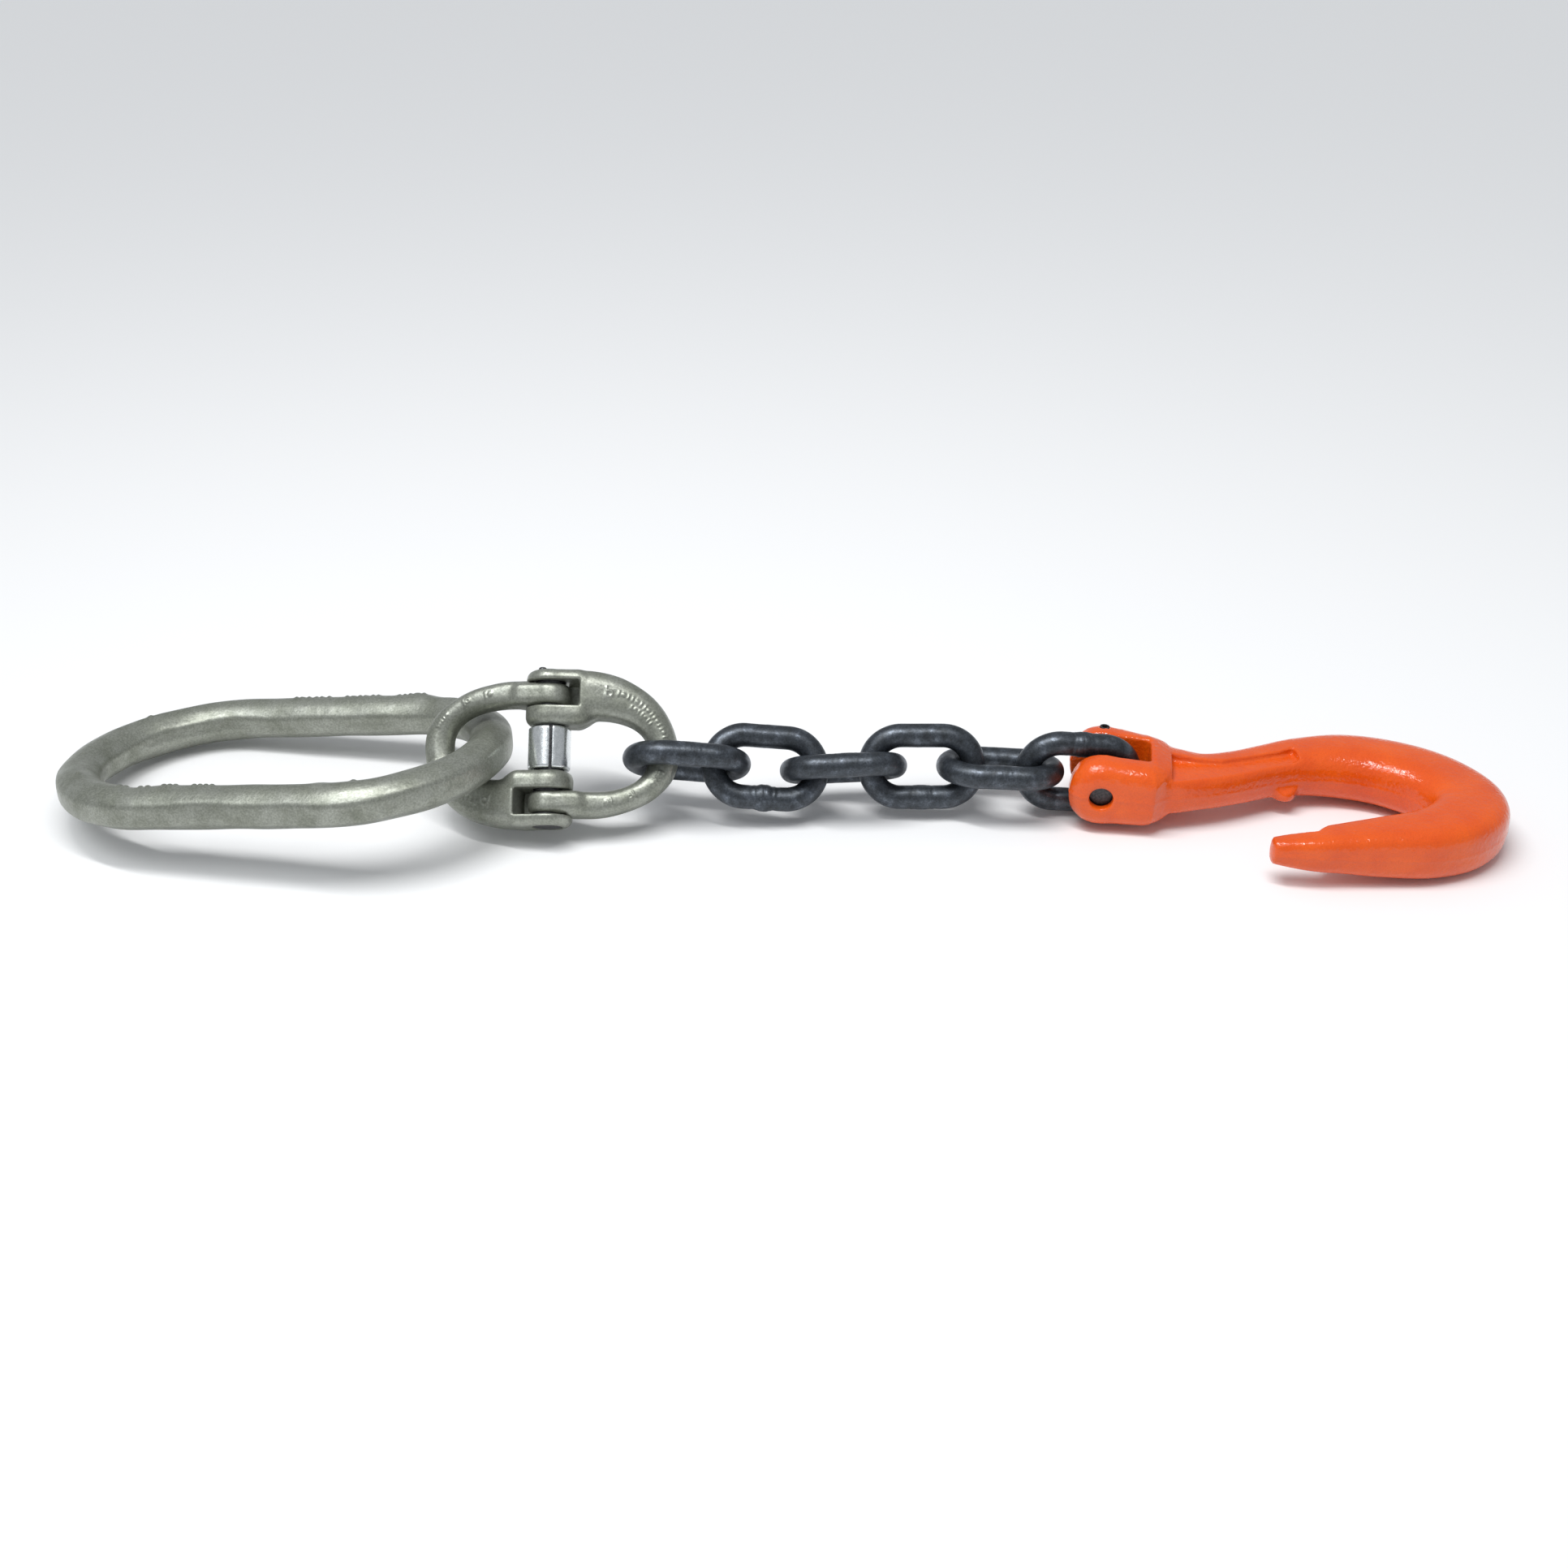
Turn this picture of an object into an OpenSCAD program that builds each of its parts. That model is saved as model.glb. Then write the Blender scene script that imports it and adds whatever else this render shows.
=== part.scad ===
// Load binder chain: oblong master link, pinned coupling link, six chain links and a clevis hook,
// lying stretched out on a flat surface. +X runs from the master link to the hook, +Y is away
// from the side that the hook's point is on, and +Z is up. The origin is the middle of the
// footprint, on the surface. Lengths are millimetres and angles are degrees.

/* [Chain] */
// Wire diameter of the chain links
wire_d = 10; // [8:0.5:13]
// Inside length of a chain link
link_pitch = 32.8; // [29:0.1:42]
// Room inside a link's width beside the thickest bar or pin that it holds
link_play = 3; // [2:0.5:6]
// How far the weld bead stands out of the wire
bead_rise = 0.7; // [0.3:0.1:1.5]
// Length of the weld bead along the leg
bead_len = 5; // [3:0.5:9]
// Gap left between parts that touch when the chain is pulled tight
contact_gap = 0.5; // [0.3:0.1:1]

/* [Master link] */
// Bar diameter of the master link
master_bar = 18.6; // [15:0.1:23]
// Inside length of the master link
master_len = 155; // [125:1:190]
// Inside width of the master link
master_w = 84; // [70:1:101]

/* [Coupling] */
// Diameter of the coupling's load pin
coupling_pin_d = 12; // [10:0.1:14.4]
// Wall of the retaining sleeve
sleeve_wall = 2.55; // [2:0.05:3.2]
// Length of the retaining sleeve
sleeve_len = 17.4; // [14:0.1:21]
// Width of the slit in the retaining sleeve
sleeve_slit = 1; // [0.6:0.1:2]
// Thickness of a fork's inner prong
prong_in = 8; // [6:0.2:10]
// Thickness of a fork's outer prong
prong_out = 5; // [4:0.2:8]
// Thickness of the tongue that sits in a fork
tongue_t = 10; // [8:0.2:12]
// Metal left round the pin at the end of a prong
prong_wall = 4.25; // [3.5:0.05:5]
// Metal left round the pin at the end of a tongue
tongue_wall = 2.35; // [2:0.05:3]
// Distance from the pin to the outside of a half's bow
bow_reach = 52.6; // [48:0.2:65]
// Thickness of the bow at its crown
bow_d = 12.6; // [10.5:0.1:15.6]

/* [Hook] */
// Diameter of the hook's load pin
hook_pin_d = 12; // [10:0.1:14.4]
// Diameter of the drift hole in the front ear
drift_d = 9.5; // [7:0.1:9.6]
// Room beside the last link between the ears
ear_play = 8; // [5:0.2:11]
// Thickness of each ear
ear_t = 12.3; // [10:0.1:16]
// Metal left round the load pin at the end of an ear
ear_wall = 9.1; // [8:0.1:11]
// Diameter of the roll pin that holds the load pin
roll_pin_d = 4; // [3:0.1:5]
// Distance from the load pin to the outside of the bowl
hook_reach = 163; // [135:1:200]
// Thickness of the hook at the bowl
bowl_t = 25; // [20:0.1:30]
// Thickness of the shank
shank_t = 19.4; // [16:0.1:23.4]
// Depth of the recess in each face of the shank
recess_depth = 2.4; // [1:0.1:4]

/* [Hidden] */
$fn = 64;

// Fits: gap round a pin in its hole, on each side of a tongue in its slot, and past a cut's faces
running_gap = 0.05;
side_gap = 0.3;
over = 1;

// How each piece lies: [roll, pitch, yaw]. A link is flat at roll 0 and upright at roll 90.
MASTER_LAY = [-7.5, -6.8, -10.3];
COUPLING_LAY = [50.5, -5.6, -7.3];
LINK_LAY = [[-43, 8, 5.5], [52, 6.1, 2.7], [-35, -0.5, 4.3], [68, 0.6, 1.1], [-12, 1.7, -2.6],
    [88, 5, 2.6]];
HOOK_LAY = [0, 1.9, -8];
LINKS = len(LINK_LAY);

// How far the coupling's right half hangs out of line with the left half, about its pin
coupling_fold = 13;

// Where the master link's crown rests past the coupling's bow, how far off the bow's middle the
// first link hangs, and how far off the middle of the load pin the last link sits
MASTER_SLACK = [4.7, -12.4, 5.3];
first_link_off = -3;
LAST_LINK_OFF = [0, 0.5, 0.4];

// ---- swept solids ----

// Closed rings of points joined into a tube with flat ends
module skin(rings) {
    n = len(rings[0]);
    m = len(rings);
    faces = concat(
        [[for (j = [0:n - 1]) j]],
        [[for (j = [0:n - 1]) m * n - 1 - j]],
        [for (i = [0:m - 2]) for (j = [0:n - 1])
            let (a = i * n + j, b = i * n + (j + 1) % n)
            [a, b + n, b]],
        [for (i = [0:m - 2]) for (j = [0:n - 1])
            let (a = i * n + j, b = i * n + (j + 1) % n)
            [a, a + n, b + n]]);
    polyhedron(points = [for (r = rings) for (p = r) p], faces = faces, convexity = 6);
}

// A rounded-box outline: exponent 2 is an ellipse, and a higher one is squarer
function round_power(v, e) = sign(v) * pow(abs(v), 2 / e);
function section(n, half_w, half_t, e) =
    [for (j = [0:n - 1])
        let (a = 360 * (j + 0.5) / n)
        [half_w * round_power(cos(a), e), half_t * round_power(sin(a), e)]];

// Smooth value through a list of control values, at a position counted in controls
function blend4(a, b, c, d, t) = 0.5 * (2 * b + (c - a) * t + (2 * a - 5 * b + 4 * c - d) * t * t
    + (3 * b - a - 3 * c + d) * t * t * t);
function along(list, s) =
    let (m = len(list) - 1, i = min(floor(s), m - 1), t = s - i)
    blend4(list[max(i - 1, 0)], list[i], list[i + 1], list[min(i + 2, m)], t);

// ---- sizes that follow from the driving ones ----

link_inside_w = max(bow_d, hook_pin_d, wire_d) + link_play;
link_half = (link_pitch + wire_d) / 2;
crown_step = wire_d + contact_gap;

// Stack along the coupling's pin, from its middle outwards
sleeve_end_gap = 0.2;
prong_r = coupling_pin_d / 2 + prong_wall;
tongue_r = coupling_pin_d / 2 + tongue_wall;
prong_in_at = sleeve_len / 2 + sleeve_end_gap;
slot_at = prong_in_at + prong_in;
slot_w = tongue_t + 2 * side_gap;
prong_out_at = slot_at + slot_w;
fork_top = prong_out_at + prong_out;
tongue_at = slot_at + side_gap;
fork_root_room = 3.6;
fork_root = tongue_r + fork_root_room;
// Below this depth a web closes the back of the fork's slot, just clear of the tongue's round end
web_depth = 4;
web_root = tongue_r - 0.25;
arm_x = fork_root + 2;
bow_crown = bow_reach - bow_d / 2;

// Clevis of the hook
ear_r = hook_pin_d / 2 + ear_wall;
ear_gap = wire_d + ear_play;
fork_half = ear_gap / 2 + ear_t;
far_ear_mid = ear_gap / 2 + ear_t / 2;
crown_room = 2.2;
slot_web = 7;
slot_root = hook_pin_d / 2 + contact_gap + wire_d + crown_room;
fork_end = slot_root + slot_web;
// The load pin's far end and near end, set in from the faces of the ears
pin_far_inset = 0.5;
pin_seat = 4.7;

// ---- line of the hook, with the load pin at zero and the bowl towards +X ----

// Shank: how far along it, how far to the side, width, thickness and how square the section is
bowl_from = hook_reach - 94;
shank_from = fork_end - 5;
SHANK = [[0, 0, 34, ear_r * 1.7, 3.5], [0.22, 1, 31, ear_r * 1.45, 3.2], [0.46, 3, 25.5, shank_t, 3],
    [0.72, 8.5, 22.5, shank_t, 3]];
// Bowl and point: distance back from the outside of the bowl, then the same values
BOWL = [[94, 16.5, 22.5, shank_t * 1.04, 3], [80, 23, 25.5, (shank_t + bowl_t) / 2, 2.6],
    [64, 26.5, 29, bowl_t * 0.98, 2.5], [46, 25, 31.5, bowl_t, 2.5], [29, 17, 32.5, bowl_t, 2.6],
    [18.5, 4.5, 32.5, bowl_t, 2.8], [16.5, -9, 31.5, bowl_t, 3], [23.5, -21.5, 29.5, bowl_t, 3],
    [37, -31, 26, bowl_t * 0.94, 3], [53, -36, 22, bowl_t * 0.86, 3],
    [69, -40.5, 18, bowl_t * 0.72, 3], [81, -46, 10, bowl_t * 0.54, 2.6],
    [89, -47, 8.5, bowl_t * 0.46, 2.4], [96, -47.5, 5, bowl_t * 0.32, 2.2]];
HOOK_LINE = concat(
    [for (c = SHANK) [shank_from + c[0] * (bowl_from - shank_from), c[1], c[2], c[3], c[4]]],
    [for (c = BOWL) [hook_reach - c[0], c[1], c[2], c[3], c[4]]]);
hook_sides = 20;
rings_per_step = 3;

function flat(v) = [v[0], v[1]];
function hook_ring(s) =
    let (c = along(HOOK_LINE, s),
        ahead = along(HOOK_LINE, min(s + 0.05, len(HOOK_LINE) - 1)),
        behind = along(HOOK_LINE, max(s - 0.05, 0)),
        d = flat(ahead - behind),
        n = [-d[1], d[0]] / norm(d))
    [for (q = section(hook_sides, c[2] / 2, c[3] / 2, c[4]))
        [c[0] + n[0] * q[0], c[1] + n[1] * q[0], q[1]]];
HOOK_RINGS = [for (i = [0:rings_per_step * (len(HOOK_LINE) - 1)]) hook_ring(i / rings_per_step)];

// ---- places, first from the load pin of the hook towards the master link ----

function lay_matrix(a) =
    let (r = a[0], p = a[1], y = a[2])
    [[cos(y) * cos(p), cos(y) * sin(p) * sin(r) - sin(y) * cos(r),
        cos(y) * sin(p) * cos(r) + sin(y) * sin(r)],
     [sin(y) * cos(p), sin(y) * sin(p) * sin(r) + cos(y) * cos(r),
        sin(y) * sin(p) * cos(r) - cos(y) * sin(r)],
     [-sin(p), cos(p) * sin(r), cos(p) * cos(r)]];

HOOK_POINTS = [for (ring = HOOK_RINGS) for (p = ring) lay_matrix(HOOK_LAY) * p];
pin_height = max(ear_r, -min([for (p = HOOK_POINTS) p[2]]));

// Parts that pull on each other meet along the mean of their directions
function heading(a) = lay_matrix(a) * [1, 0, 0];
function pull(u, v) = (u + v) / norm(u + v);

function link_left_crown(i) = link_from_pin(i) - lay_matrix(LINK_LAY[i]) * [link_half, 0, 0];
function link_right_crown(i) =
    i == LINKS - 1 ? last_crown
    : link_left_crown(i + 1) + crown_step * pull(heading(LINK_LAY[i]), heading(LINK_LAY[i + 1]));
function link_from_pin(i) = link_right_crown(i) - lay_matrix(LINK_LAY[i]) * [link_half, 0, 0];

last_crown = [0, 0, pin_height] + LAST_LINK_OFF
    + ((wire_d + hook_pin_d) / 2 + contact_gap) * pull(heading(LINK_LAY[LINKS - 1]), heading(HOOK_LAY));
right_half_turn = lay_matrix(COUPLING_LAY) * lay_matrix([0, coupling_fold, 0]);
coupling_from_pin = link_left_crown(0)
    + ((wire_d + bow_d) / 2 + contact_gap) * pull(right_half_turn * [1, 0, 0], heading(LINK_LAY[0]))
    - right_half_turn * [bow_crown, first_link_off, 0];
master_half = (master_len + master_bar) / 2;
master_crown_from_pin = coupling_from_pin - lay_matrix(COUPLING_LAY) * [bow_crown, 0, 0]
    + [(master_bar + bow_d) / 2, 0, 0] + MASTER_SLACK;
master_from_pin = master_crown_from_pin - lay_matrix(MASTER_LAY) * [master_half, 0, 0];

// Half the extent of the tilted master link along a world axis
function master_reach(axis) =
    let (row = lay_matrix(MASTER_LAY)[axis])
    abs(row[0]) * (master_len - master_w) / 2 + norm(flat(row)) * (master_w + master_bar) / 2
        + master_bar / 2;
left_end = master_from_pin[0] - master_reach(0);
right_end = max([for (p = HOOK_POINTS) p[0]]);
near_side = min(master_from_pin[1] - master_reach(1), min([for (p = HOOK_POINTS) p[1]]));
far_side = master_from_pin[1] + master_reach(1);
MIDDLE = [(left_end + right_end) / 2, (near_side + far_side) / 2, 0];

hook_pin_at = [0, 0, pin_height] - MIDDLE;
coupling_at = coupling_from_pin - MIDDLE;
master_at = master_from_pin - MIDDLE;
function link_at(i) = link_from_pin(i) - MIDDLE;

// ---- chain links and master link ----

// An oblong ring of round bar, lying in XY
module oblong_ring(inside_len, inside_w, bar) {
    r = (inside_w + bar) / 2;
    straight = inside_len - inside_w;
    for (side = [-1, 1]) {
        translate([side * straight / 2, 0, 0])
            rotate([0, 0, side * 90 - 180])
                rotate_extrude(angle = 180) translate([r, 0]) circle(d = bar);
        translate([-straight / 2, side * r, 0])
            rotate([0, 90, 0]) cylinder(d = bar, h = straight);
    }
}

// The weld bead is on the +Y leg only on the last link
module chain_link(i) {
    bead_side = i == LINKS - 1 ? 1 : -1;
    color([0.16, 0.17, 0.18])
        translate(link_at(i)) rotate(LINK_LAY[i]) {
            oblong_ring(link_pitch, link_inside_w, wire_d);
            translate([0, bead_side * (link_inside_w + wire_d) / 2, 0])
                rotate([0, 90, 0])
                    cylinder(d = wire_d + 2 * bead_rise, h = bead_len, center = true);
        }
}

module master_link() {
    color([0.55, 0.56, 0.53])
        translate(master_at) rotate(MASTER_LAY)
            oblong_ring(master_len, master_w, master_bar);
}

// ---- coupling ----

// The bow's outer and inner outlines are rounded arches about its middle, from the fork at
// +90 degrees round the crown to the tongue at -90 degrees
bow_mid = -2.3;
bow_rings = 22;
bow_sides = 16;
arm_out = -(tongue_at + tongue_t) - 1.2;
arm_in = -tongue_at;
crotch_room = 3.3;
crotch_in = prong_in_at + crotch_room;
arm_swell = 0.6;

function arch(t, a, b_up, b_down, e) =
    let (b = t > 0 ? b_up : b_down)
    [arm_x + a * round_power(cos(t), e), bow_mid + b * round_power(sin(t), e)];
function bow_ring(t) =
    let (outer = arch(t, bow_reach - arm_x, fork_top - bow_mid, bow_mid - arm_out, 2),
        inner = arch(t, bow_reach - bow_d - arm_x, crotch_in - bow_mid, bow_mid - arm_in, 2.5),
        mid = (outer + inner) / 2,
        half = (outer - inner) / 2,
        k = abs(t) / 90,
        fork_t = bow_d / 2 + (prong_r * 0.95 - bow_d / 2) * k * k,
        half_t = t > 0 ? fork_t : bow_d / 2 + arm_swell * k,
        e = 2 + (t > 0 ? 1.5 : 1.2) * k * k)
    [for (p = section(bow_sides, norm(half), half_t, e))
        [mid[0] + half[0] / norm(half) * p[0], mid[1] + half[1] / norm(half) * p[0], p[1]]];

// A plate round the pin with a round end, reaching to x_end
module pin_plate(from, thick, end_r, x_end) {
    flat_half = end_r * 0.97;
    translate([0, from, 0]) rotate([-90, 0, 0]) {
        cylinder(r = end_r, h = thick);
        translate([0, -flat_half, 0]) cube([x_end, 2 * flat_half, thick]);
    }
}

// One forging: fork on the +Y side, tongue on the -Y side, bow towards +X, pin along Y
module coupling_half() {
    root_half = prong_r * 0.96;
    root_inset = 0.5;
    difference() {
        union() {
            skin([for (i = [0:bow_rings]) bow_ring(90 - 180 * i / bow_rings)]);
            pin_plate(prong_in_at, prong_in, prong_r, arm_x + 1);
            pin_plate(prong_out_at, prong_out, prong_r, arm_x + 1);
            translate([fork_root, prong_in_at + root_inset, -root_half])
                cube([4, fork_top - prong_in_at - 2 * root_inset, 2 * root_half]);
            pin_plate(-tongue_at - tongue_t, tongue_t, tongue_r, arm_x + 3);
        }
        translate([0, -fork_top - over, 0]) rotate([-90, 0, 0])
            cylinder(d = coupling_pin_d + 2 * running_gap, h = 2 * (fork_top + over));
        translate([-prong_r - over, slot_at, -web_depth])
            cube([prong_r + over + fork_root, slot_w, prong_r + over + web_depth]);
        translate([-prong_r - over, slot_at, -prong_r - over])
            cube([prong_r + over + web_root, slot_w, prong_r + over]);
    }
}

module coupling_right_half() {
    color([0.52, 0.54, 0.52])
        translate(coupling_at) rotate(COUPLING_LAY) rotate([0, coupling_fold, 0]) coupling_half();
}

module coupling_left_half() {
    color([0.56, 0.56, 0.52]) translate(coupling_at) rotate(COUPLING_LAY) rotate([0, 0, 180])
        coupling_half();
}

// The nib is a small lug left on the edge of the pin's upper end
module coupling_pin() {
    pin_inset = 0.3;
    nib_d = 3.4;
    nib_h = 1.8;
    nib_off = coupling_pin_d / 2 - nib_d / 2 - 0.6;
    color([0.35, 0.35, 0.36]) translate(coupling_at) rotate(COUPLING_LAY) rotate([-90, 0, 0]) {
        cylinder(d = coupling_pin_d, h = 2 * (fork_top - pin_inset), center = true);
        translate([-nib_off, 0, 0]) cylinder(d = nib_d, h = fork_top + nib_h);
    }
}

module coupling_sleeve() {
    slit_at = -71;
    sleeve_d = coupling_pin_d + 2 * running_gap + 2 * sleeve_wall;
    color([0.82, 0.84, 0.84]) translate(coupling_at) rotate(COUPLING_LAY) rotate([-90, 0, 0])
        difference() {
            cylinder(d = sleeve_d, h = sleeve_len, center = true);
            cylinder(d = coupling_pin_d + 2 * running_gap, h = sleeve_len + 2 * over, center = true);
            rotate([0, 0, slit_at])
                translate([0, -sleeve_slit / 2, -sleeve_len])
                    cube([sleeve_d, sleeve_slit, 2 * sleeve_len]);
        }
}

// ---- hook ----

// Both ears and the root that joins them, before the slot and the bores are cut: the outline
// seen from above, kept to the outline seen from the side
module clevis_block() {
    root_w = 14;
    intersection() {
        translate([0, 0, -ear_r - over])
            linear_extrude(2 * (ear_r + over))
                polygon([[-ear_r - over, 2.5 - fork_half], [-ear_r / 2, -fork_half],
                    [fork_end - 4, -fork_half], [fork_end, 3.5 - fork_half], [fork_end + 2, -root_w],
                    [fork_end + 2, root_w + 1], [fork_end - 2, fork_half - 4], [ear_r / 2, fork_half],
                    [-ear_r / 2, fork_half], [-ear_r - over, fork_half - 2.5]]);
        union() {
            rotate([90, 0, 0]) cylinder(r = ear_r, h = 2 * (fork_half + over), center = true);
            rotate([90, 0, 0])
                linear_extrude(2 * (fork_half + over), center = true)
                    polygon([[0, -ear_r * 0.98], [fork_end - 8, -ear_r * 0.93],
                        [fork_end + 2, -shank_t / 2 - 2], [fork_end + 2, shank_t / 2 + 2],
                        [fork_end - 8, ear_r * 0.93], [0, ear_r * 0.98]]);
        }
    }
}

// Long recess that thins the web of the shank, one in each face, as shares of the shank's length
module shank_recess() {
    RECESS = [[0.17, -12.5], [0.41, -8], [0.67, -2], [0.93, 4.5], [1.14, 9.5], [1.21, 14], [1.18, 18.5],
        [1.1, 15.9], [0.83, 9.5], [0.58, 3.8], [0.36, 2.6], [0.17, 2.7]];
    for (side = [-1, 1])
        scale([1, 1, side])
            translate([0, 0, shank_t / 2 - recess_depth])
                linear_extrude(ear_r)
                    polygon([for (p = RECESS) [shank_from + p[0] * (bowl_from - shank_from), p[1]]]);
}

// Bump on the inside of the neck, where a latch would be pinned
module latch_boss() {
    boss_r = 5;
    boss_h = 13;
    translate([bowl_from + 9, 13.5, 0]) cylinder(r = boss_r, h = boss_h, center = true);
}

module hook_body() {
    roll_hole_r = roll_pin_d / 2 + running_gap;
    color([0.93, 0.35, 0.09]) translate(hook_pin_at) rotate(HOOK_LAY)
        difference() {
            union() {
                clevis_block();
                skin(HOOK_RINGS);
                latch_boss();
            }
            translate([-ear_r - over, -ear_gap / 2, -ear_r - over])
                cube([ear_r + over + slot_root, ear_gap, 2 * (ear_r + over)]);
            translate([0, fork_half + over, 0]) rotate([90, 0, 0])
                cylinder(d = hook_pin_d + 2 * running_gap, h = 2 * fork_half + over - pin_seat + 0.2);
            rotate([90, 0, 0]) cylinder(d = drift_d, h = fork_half + over);
            translate([0, far_ear_mid, -ear_r - over]) cylinder(r = roll_hole_r, h = 2 * (ear_r + over));
            shank_recess();
        }
}

module hook_load_pin() {
    color([0.2, 0.2, 0.21]) translate(hook_pin_at) rotate(HOOK_LAY)
        difference() {
            translate([0, fork_half - pin_far_inset, 0]) rotate([90, 0, 0])
                cylinder(d = hook_pin_d, h = 2 * fork_half - pin_far_inset - pin_seat);
            translate([0, far_ear_mid, -ear_r])
                cylinder(d = roll_pin_d + 2 * running_gap, h = 2 * ear_r);
        }
}

// Split spring pin, shown with its slit
module hook_roll_pin() {
    roll_inset = 0.6;
    roll_wall = 0.8;
    roll_slit = 0.7;
    roll_len = 2 * (ear_r - roll_inset);
    color([0.3, 0.3, 0.31]) translate(hook_pin_at) rotate(HOOK_LAY)
        translate([0, far_ear_mid, 0])
            difference() {
                cylinder(d = roll_pin_d, h = roll_len, center = true);
                cylinder(d = roll_pin_d - 2 * roll_wall, h = roll_len + over, center = true);
                translate([0, -roll_slit / 2, -ear_r]) cube([roll_pin_d, roll_slit, 2 * ear_r]);
            }
}

master_link();
coupling_left_half();
coupling_right_half();
coupling_pin();
coupling_sleeve();
chain_link(0);  // chain_link_1
chain_link(1);  // chain_link_2
chain_link(2);  // chain_link_3
chain_link(3);  // chain_link_4
chain_link(4);  // chain_link_5
chain_link(5);  // chain_link_6
hook_body();
hook_load_pin();
hook_roll_pin();
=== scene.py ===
"""Looks of the load binder chain.

Each forging is worked out in millimetres in its own axes, with the sizes of its CAD solid, and is
then laid where the CAD solid lies. The web in the coupling's slots, and the hook's point, notch
and latch boss, differ a little from the CAD's. Round bars are swept along their ring. The
coupling halves, the hook and the pins are distance fields, so that their parts blend with
fillets as a forging's do, and a surface net turns each field into a mesh.
"""
from math import cos, pi, radians, sin

import bpy
import numpy as np
from mathutils import Euler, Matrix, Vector


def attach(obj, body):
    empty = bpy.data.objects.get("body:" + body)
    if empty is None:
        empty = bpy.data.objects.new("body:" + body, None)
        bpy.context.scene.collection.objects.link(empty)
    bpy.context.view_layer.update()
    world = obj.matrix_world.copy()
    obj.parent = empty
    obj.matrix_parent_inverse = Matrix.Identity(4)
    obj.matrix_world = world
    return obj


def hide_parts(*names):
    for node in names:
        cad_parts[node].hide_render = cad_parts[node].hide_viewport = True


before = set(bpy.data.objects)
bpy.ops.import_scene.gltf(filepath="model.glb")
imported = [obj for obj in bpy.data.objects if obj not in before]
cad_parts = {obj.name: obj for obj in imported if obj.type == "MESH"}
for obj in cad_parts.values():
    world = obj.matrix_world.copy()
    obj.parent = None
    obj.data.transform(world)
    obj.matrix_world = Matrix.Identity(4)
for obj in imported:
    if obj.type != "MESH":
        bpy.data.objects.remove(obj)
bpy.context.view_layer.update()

MM = 0.001
LINKS = 6

# How each piece lies: roll, pitch and yaw in degrees, as in the CAD source
MASTER_LAY = (-7.5, -6.8, -10.3)
COUPLING_LAY = (50.5, -5.6, -7.3)
COUPLING_FOLD = 13
LINK_LAYS = ((-43, 8, 5.5), (52, 6.1, 2.7), (-35, -0.5, 4.3), (68, 0.6, 1.1), (-12, 1.7, -2.6), (88, 5, 2.6))
HOOK_LAY = (0, 1.9, -8)

# Chain links and master link
WIRE = 10
LINK_RINGS = 220
LINK_SIDES = 52
PITCH = 32.8
LINK_INSIDE_W = 15.6
BEAD_RISE = 0.7
MASTER_BAR = 18.6
MASTER_LEN = 155
MASTER_W = 84
MASTER_RINGS = 640
MASTER_SIDES = 88
MARK_RISE = 0.6

# Coupling, from the middle of its pin outwards
PIN_R = 6
SLEEVE_R = 8.6
SLEEVE_LEN = 17.4
PRONG_R = 10.25
TONGUE_R = 8.35
PRONG_IN_AT = 8.9
SLOT_AT = 16.9
TONGUE_AT = 17.2
TONGUE_T = 10
PRONG_OUT_AT = 27.5
FORK_TOP = 32.5
FORK_ROOT = 11.95
ARM_X = 13.95
BOW_REACH = 52.6
BOW_D = 12.6
BOW_MID = -2.3
CROTCH_IN = 12.2
ARM_OUT = -28.4
# The bow's line goes on straight into the plates, for this far and in this many rows
BOW_STRAIGHT = 6
BOW_STRAIGHT_ROWS = 60
# Deeper and nearer to the pin than in the CAD, so that the slot looks dark
WEB_DEPTH = 6.5
WEB_ROOT = 7
# Room round every pin in its bore, and how far the painted skin lies inside the CAD's surface
BORE_ROOM = 0.05
COUPLING_INSET = 0.3
PIN_INSET = 0.3
NIB_RISE = 1.8

# Hook, from its load pin
EAR_R = 15.1
EAR_GAP = 18
EAR_T = 12.3
FORK_HALF = 21.3
SLOT_ROOT = 18.7
FORK_END = 25.7
HOOK_REACH = 163
BOWL_T = 25
SHANK_T = 19.4
RECESS_DEPTH = 2.4
DRIFT_R = 4.75
ROLL_R = 2
PIN_SEAT = 4.7
PIN_FAR_INSET = 0.5
HOOK_INSET = 0.42

# Light
SKY_STRENGTH = 0.42
KEY_POWER = 5
SUN_POWER = 1.2
FLOOR_HALF = 4


# ---- places ----

def turn_of(lay):
    return np.array(Euler([radians(a) for a in lay], "XYZ").to_matrix())


def own_corners(node, turn):
    """Lowest and highest corner of a CAD node along its own axes, in millimetres."""
    points = np.array([v.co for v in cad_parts[node].data.vertices]) / MM @ turn
    return points.min(0), points.max(0)


def middle_of(node, turn, shift=(0, 0, 0)):
    """Where the middle of a CAD node's own box is, in the row frame."""
    low, high = own_corners(node, turn)
    return turn @ ((low + high) / 2 + np.array(shift))


# ---- meshes ----

def ripple(x, y, z, size, seed=0.0):
    """Smooth unevenness from -1 to 1, about as long as size, the same on every run."""
    a, b, c = x / size + seed, y / size + 1.7 * seed, z / size - 0.9 * seed
    return (np.sin(2.1 * a + 1.3 * np.sin(1.7 * b + 0.4)) * np.cos(1.9 * b - 0.8 * np.sin(1.3 * c))
            + 0.6 * np.sin(2.7 * c + 1.1 * a) * np.cos(2.3 * a - 0.7 * b)) / 1.6


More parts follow.
